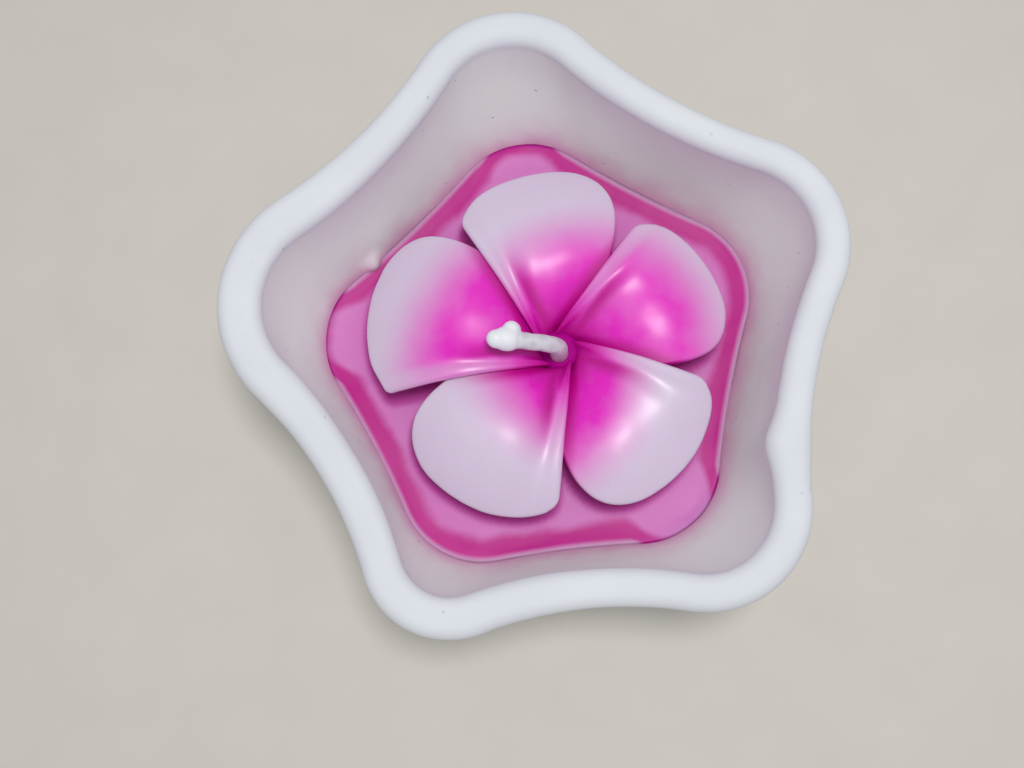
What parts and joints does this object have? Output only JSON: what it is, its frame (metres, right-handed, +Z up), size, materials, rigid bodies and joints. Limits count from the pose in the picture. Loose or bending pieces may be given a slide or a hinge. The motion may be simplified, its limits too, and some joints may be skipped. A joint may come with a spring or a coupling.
{
  "type": "decorated candle",
  "caption": "Small star-shaped dish of cast white plaster filled with magenta wax, with a frangipani flower of wax petals set in it round a waxed cotton wick.",
  "frame": {"origin": "on the ground, at the middle of the dish's flat foot, where the dish axis meets it", "axes": "+Z is up along the dish axis; +X and +Y are the right and the top of the picture, with one lobe of the star towards +Y"},
  "size_m": [0.085, 0.0855, 0.034],
  "materials": {
    "cast_plaster": "matte",
    "poured_wax": "satin",
    "petal_wax": "satin",
    "waxed_cotton": "satin",
    "tinplate": "satin"
  },
  "bodies": {
    "root": {"dish": "cast_plaster", "wax_pool": "poured_wax", "petal_1": "petal_wax", "petal_2": "petal_wax", "petal_3": "petal_wax", "petal_4": "petal_wax", "petal_5": "petal_wax", "wick": "waxed_cotton", "wick_tab": "tinplate"}
  },
  "joints": []
}
